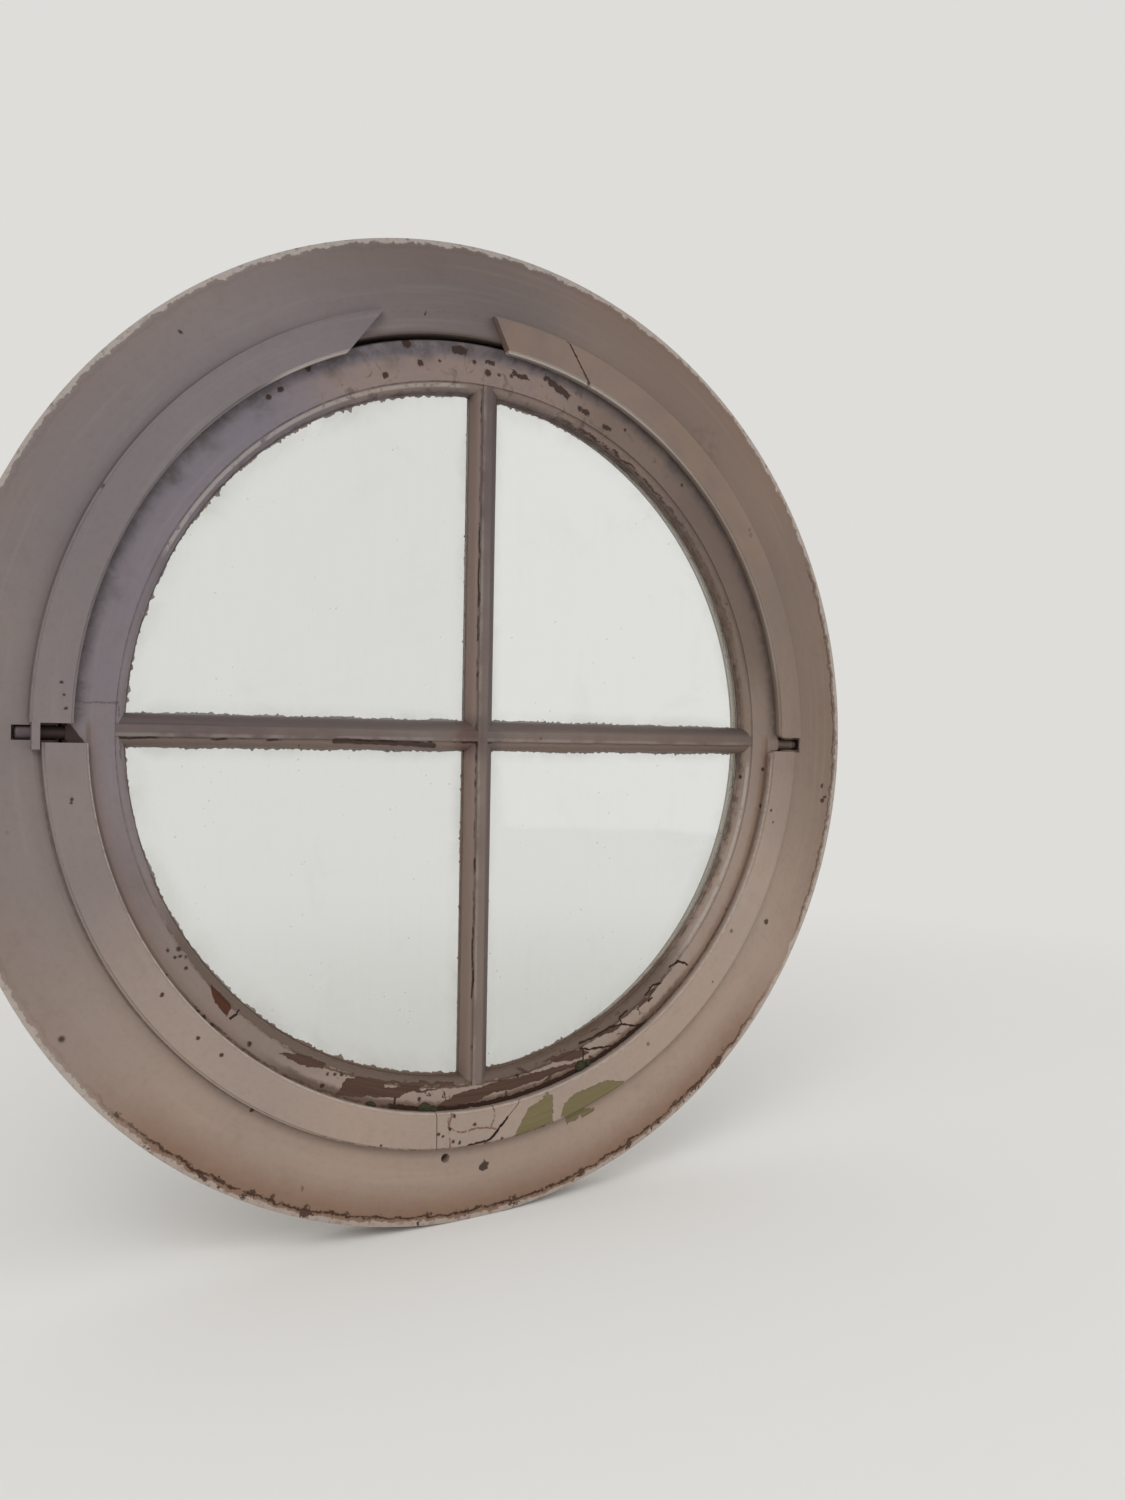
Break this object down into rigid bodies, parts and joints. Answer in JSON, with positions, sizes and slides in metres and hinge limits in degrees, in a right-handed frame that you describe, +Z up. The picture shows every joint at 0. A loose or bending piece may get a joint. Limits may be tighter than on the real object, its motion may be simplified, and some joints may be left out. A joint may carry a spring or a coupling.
{
  "type": "round window",
  "caption": "Round timber window in its ring frame, with a crossed glazing bar sash that turns on two pins at mid height.",
  "frame": {"origin": "centre of the frame ring, at half the frame's depth", "axes": "+X right as seen from the room and along the pivot, +Y out to the street along the ring's axis, +Z up"},
  "size_m": [0.84, 0.054, 0.84],
  "materials": {
    "frame_paint": "aged off-white oil paint on timber, greyed by dirt",
    "sash_paint": "aged off-white oil paint on timber, flaking to bare wood low down",
    "bead_paint": "aged off-white oil paint on timber, worn to green and bare wood in places",
    "peg_wood": "hardwood pegs, painted over at their ends",
    "pivot_iron": "wrought iron, part painted and part bare",
    "nail_steel": "dull steel, slightly rusted",
    "pane_glass": "old clear sheet glass, dusty",
    "putty": "hard linseed putty, painted white"
  },
  "bodies": {
    "frame": {"frame_upper_right": "frame_paint", "frame_upper_left": "frame_paint", "frame_lower_left": "frame_paint", "frame_lower_right": "frame_paint", "room_bead_upper_left": "bead_paint", "room_bead_upper_short": "bead_paint", "room_bead_upper_right": "bead_paint", "street_bead_lower_left": "bead_paint", "street_bead_lower_right": "bead_paint", "bearing_left": "pivot_iron", "bearing_right": "pivot_iron", "bearing_screws": "nail_steel", "frame_bead_nails": "nail_steel", "frame_pegs": "peg_wood"},
    "sash": {"sash_rim_top": "sash_paint", "sash_rim_left": "sash_paint", "sash_rim_bottom": "sash_paint", "sash_rim_right": "sash_paint", "pivot_block_left": "sash_paint", "pivot_block_right": "sash_paint", "bar_horizontal": "sash_paint", "bar_vertical": "sash_paint", "pane_upper_left": "pane_glass", "pane_upper_right": "pane_glass", "pane_lower_left": "pane_glass", "pane_lower_right": "pane_glass", "putty_upper_left": "putty", "putty_upper_right": "putty", "putty_lower_left": "putty", "putty_lower_right": "putty", "room_bead_lower_left": "bead_paint", "room_bead_lower_patch": "bead_paint", "room_bead_lower_right": "bead_paint", "street_bead_upper_left": "bead_paint", "street_bead_upper_right": "bead_paint", "pivot_pin_left": "pivot_iron", "pivot_pin_right": "pivot_iron", "pivot_screws": "nail_steel", "glazing_sprigs": "nail_steel", "sash_bead_nails": "nail_steel", "sash_pegs": "peg_wood"}
  },
  "joints": [
    {"name": "sash_pivot", "type": "hinge", "parent": "frame", "child": "sash", "pos_m": [0, -0.0125, -0.003], "axis": [-1, 0, 0], "range_deg": [0, 50]}
  ]
}
